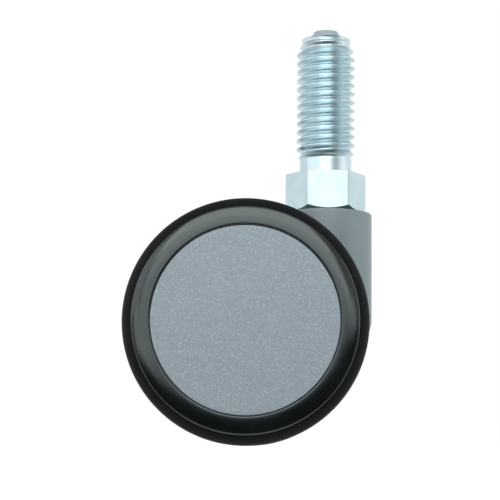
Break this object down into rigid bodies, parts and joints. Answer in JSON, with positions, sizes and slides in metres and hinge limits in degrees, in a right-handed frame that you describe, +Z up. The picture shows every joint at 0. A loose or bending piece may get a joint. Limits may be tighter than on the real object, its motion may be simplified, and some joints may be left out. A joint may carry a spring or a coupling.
{
  "type": "twin-wheel swivel castor with threaded stem",
  "caption": "Twin-wheel swivel castor on a threaded levelling stem with a hexagon, for furniture and light equipment.",
  "frame": {"origin": "on the stem's axis, in the seating plane on top of its hexagon", "axes": "+Z up along the stem, the axle along Y, the wheels trailing towards -X"},
  "size_m": [0.0413, 0.036, 0.0714],
  "materials": {
    "zinc_steel": "bright zinc plated, lightly brushed",
    "spring_steel": "oiled spring steel",
    "acetal": "natural acetal, satin",
    "grey_polyamide": "grey moulded polyamide, satin",
    "axle_steel": "drawn steel",
    "black_polyamide": "gloss black moulded polyamide",
    "tyre_rubber": "matt black thermoplastic rubber",
    "cap_plastic": "silver-grey moulded plastic with a fine metallic grain"
  },
  "bodies": {
    "stem": {"stem": "zinc_steel", "retaining_ring": "spring_steel"},
    "swivel": {"housing": "grey_polyamide", "thrust_washer": "acetal", "swivel_bush_upper": "acetal", "swivel_bush_lower": "acetal", "axle": "axle_steel", "spacer_left": "axle_steel", "spacer_right": "axle_steel", "axle_retainer_left": "spring_steel", "axle_retainer_right": "spring_steel"},
    "wheel_left": {"wheel_core_left": "black_polyamide", "tyre_left": "tyre_rubber", "wheel_bush_left": "acetal", "wheel_cap_left": "cap_plastic"},
    "wheel_right": {"wheel_core_right": "black_polyamide", "tyre_right": "tyre_rubber", "wheel_bush_right": "acetal", "wheel_cap_right": "cap_plastic"}
  },
  "joints": [
    {"name": "swivel", "type": "hinge", "parent": "stem", "child": "swivel", "pos_m": [0, 0, -0.0068], "axis": [0, 0, 1], "continuous": true},
    {"name": "wheel_left_spin", "type": "hinge", "parent": "swivel", "child": "wheel_left", "pos_m": [-0.0133, 0.013, -0.0263], "axis": [0, 1, 0], "continuous": true},
    {"name": "wheel_right_spin", "type": "hinge", "parent": "swivel", "child": "wheel_right", "pos_m": [-0.0133, -0.013, -0.0263], "axis": [0, 1, 0], "continuous": true}
  ]
}
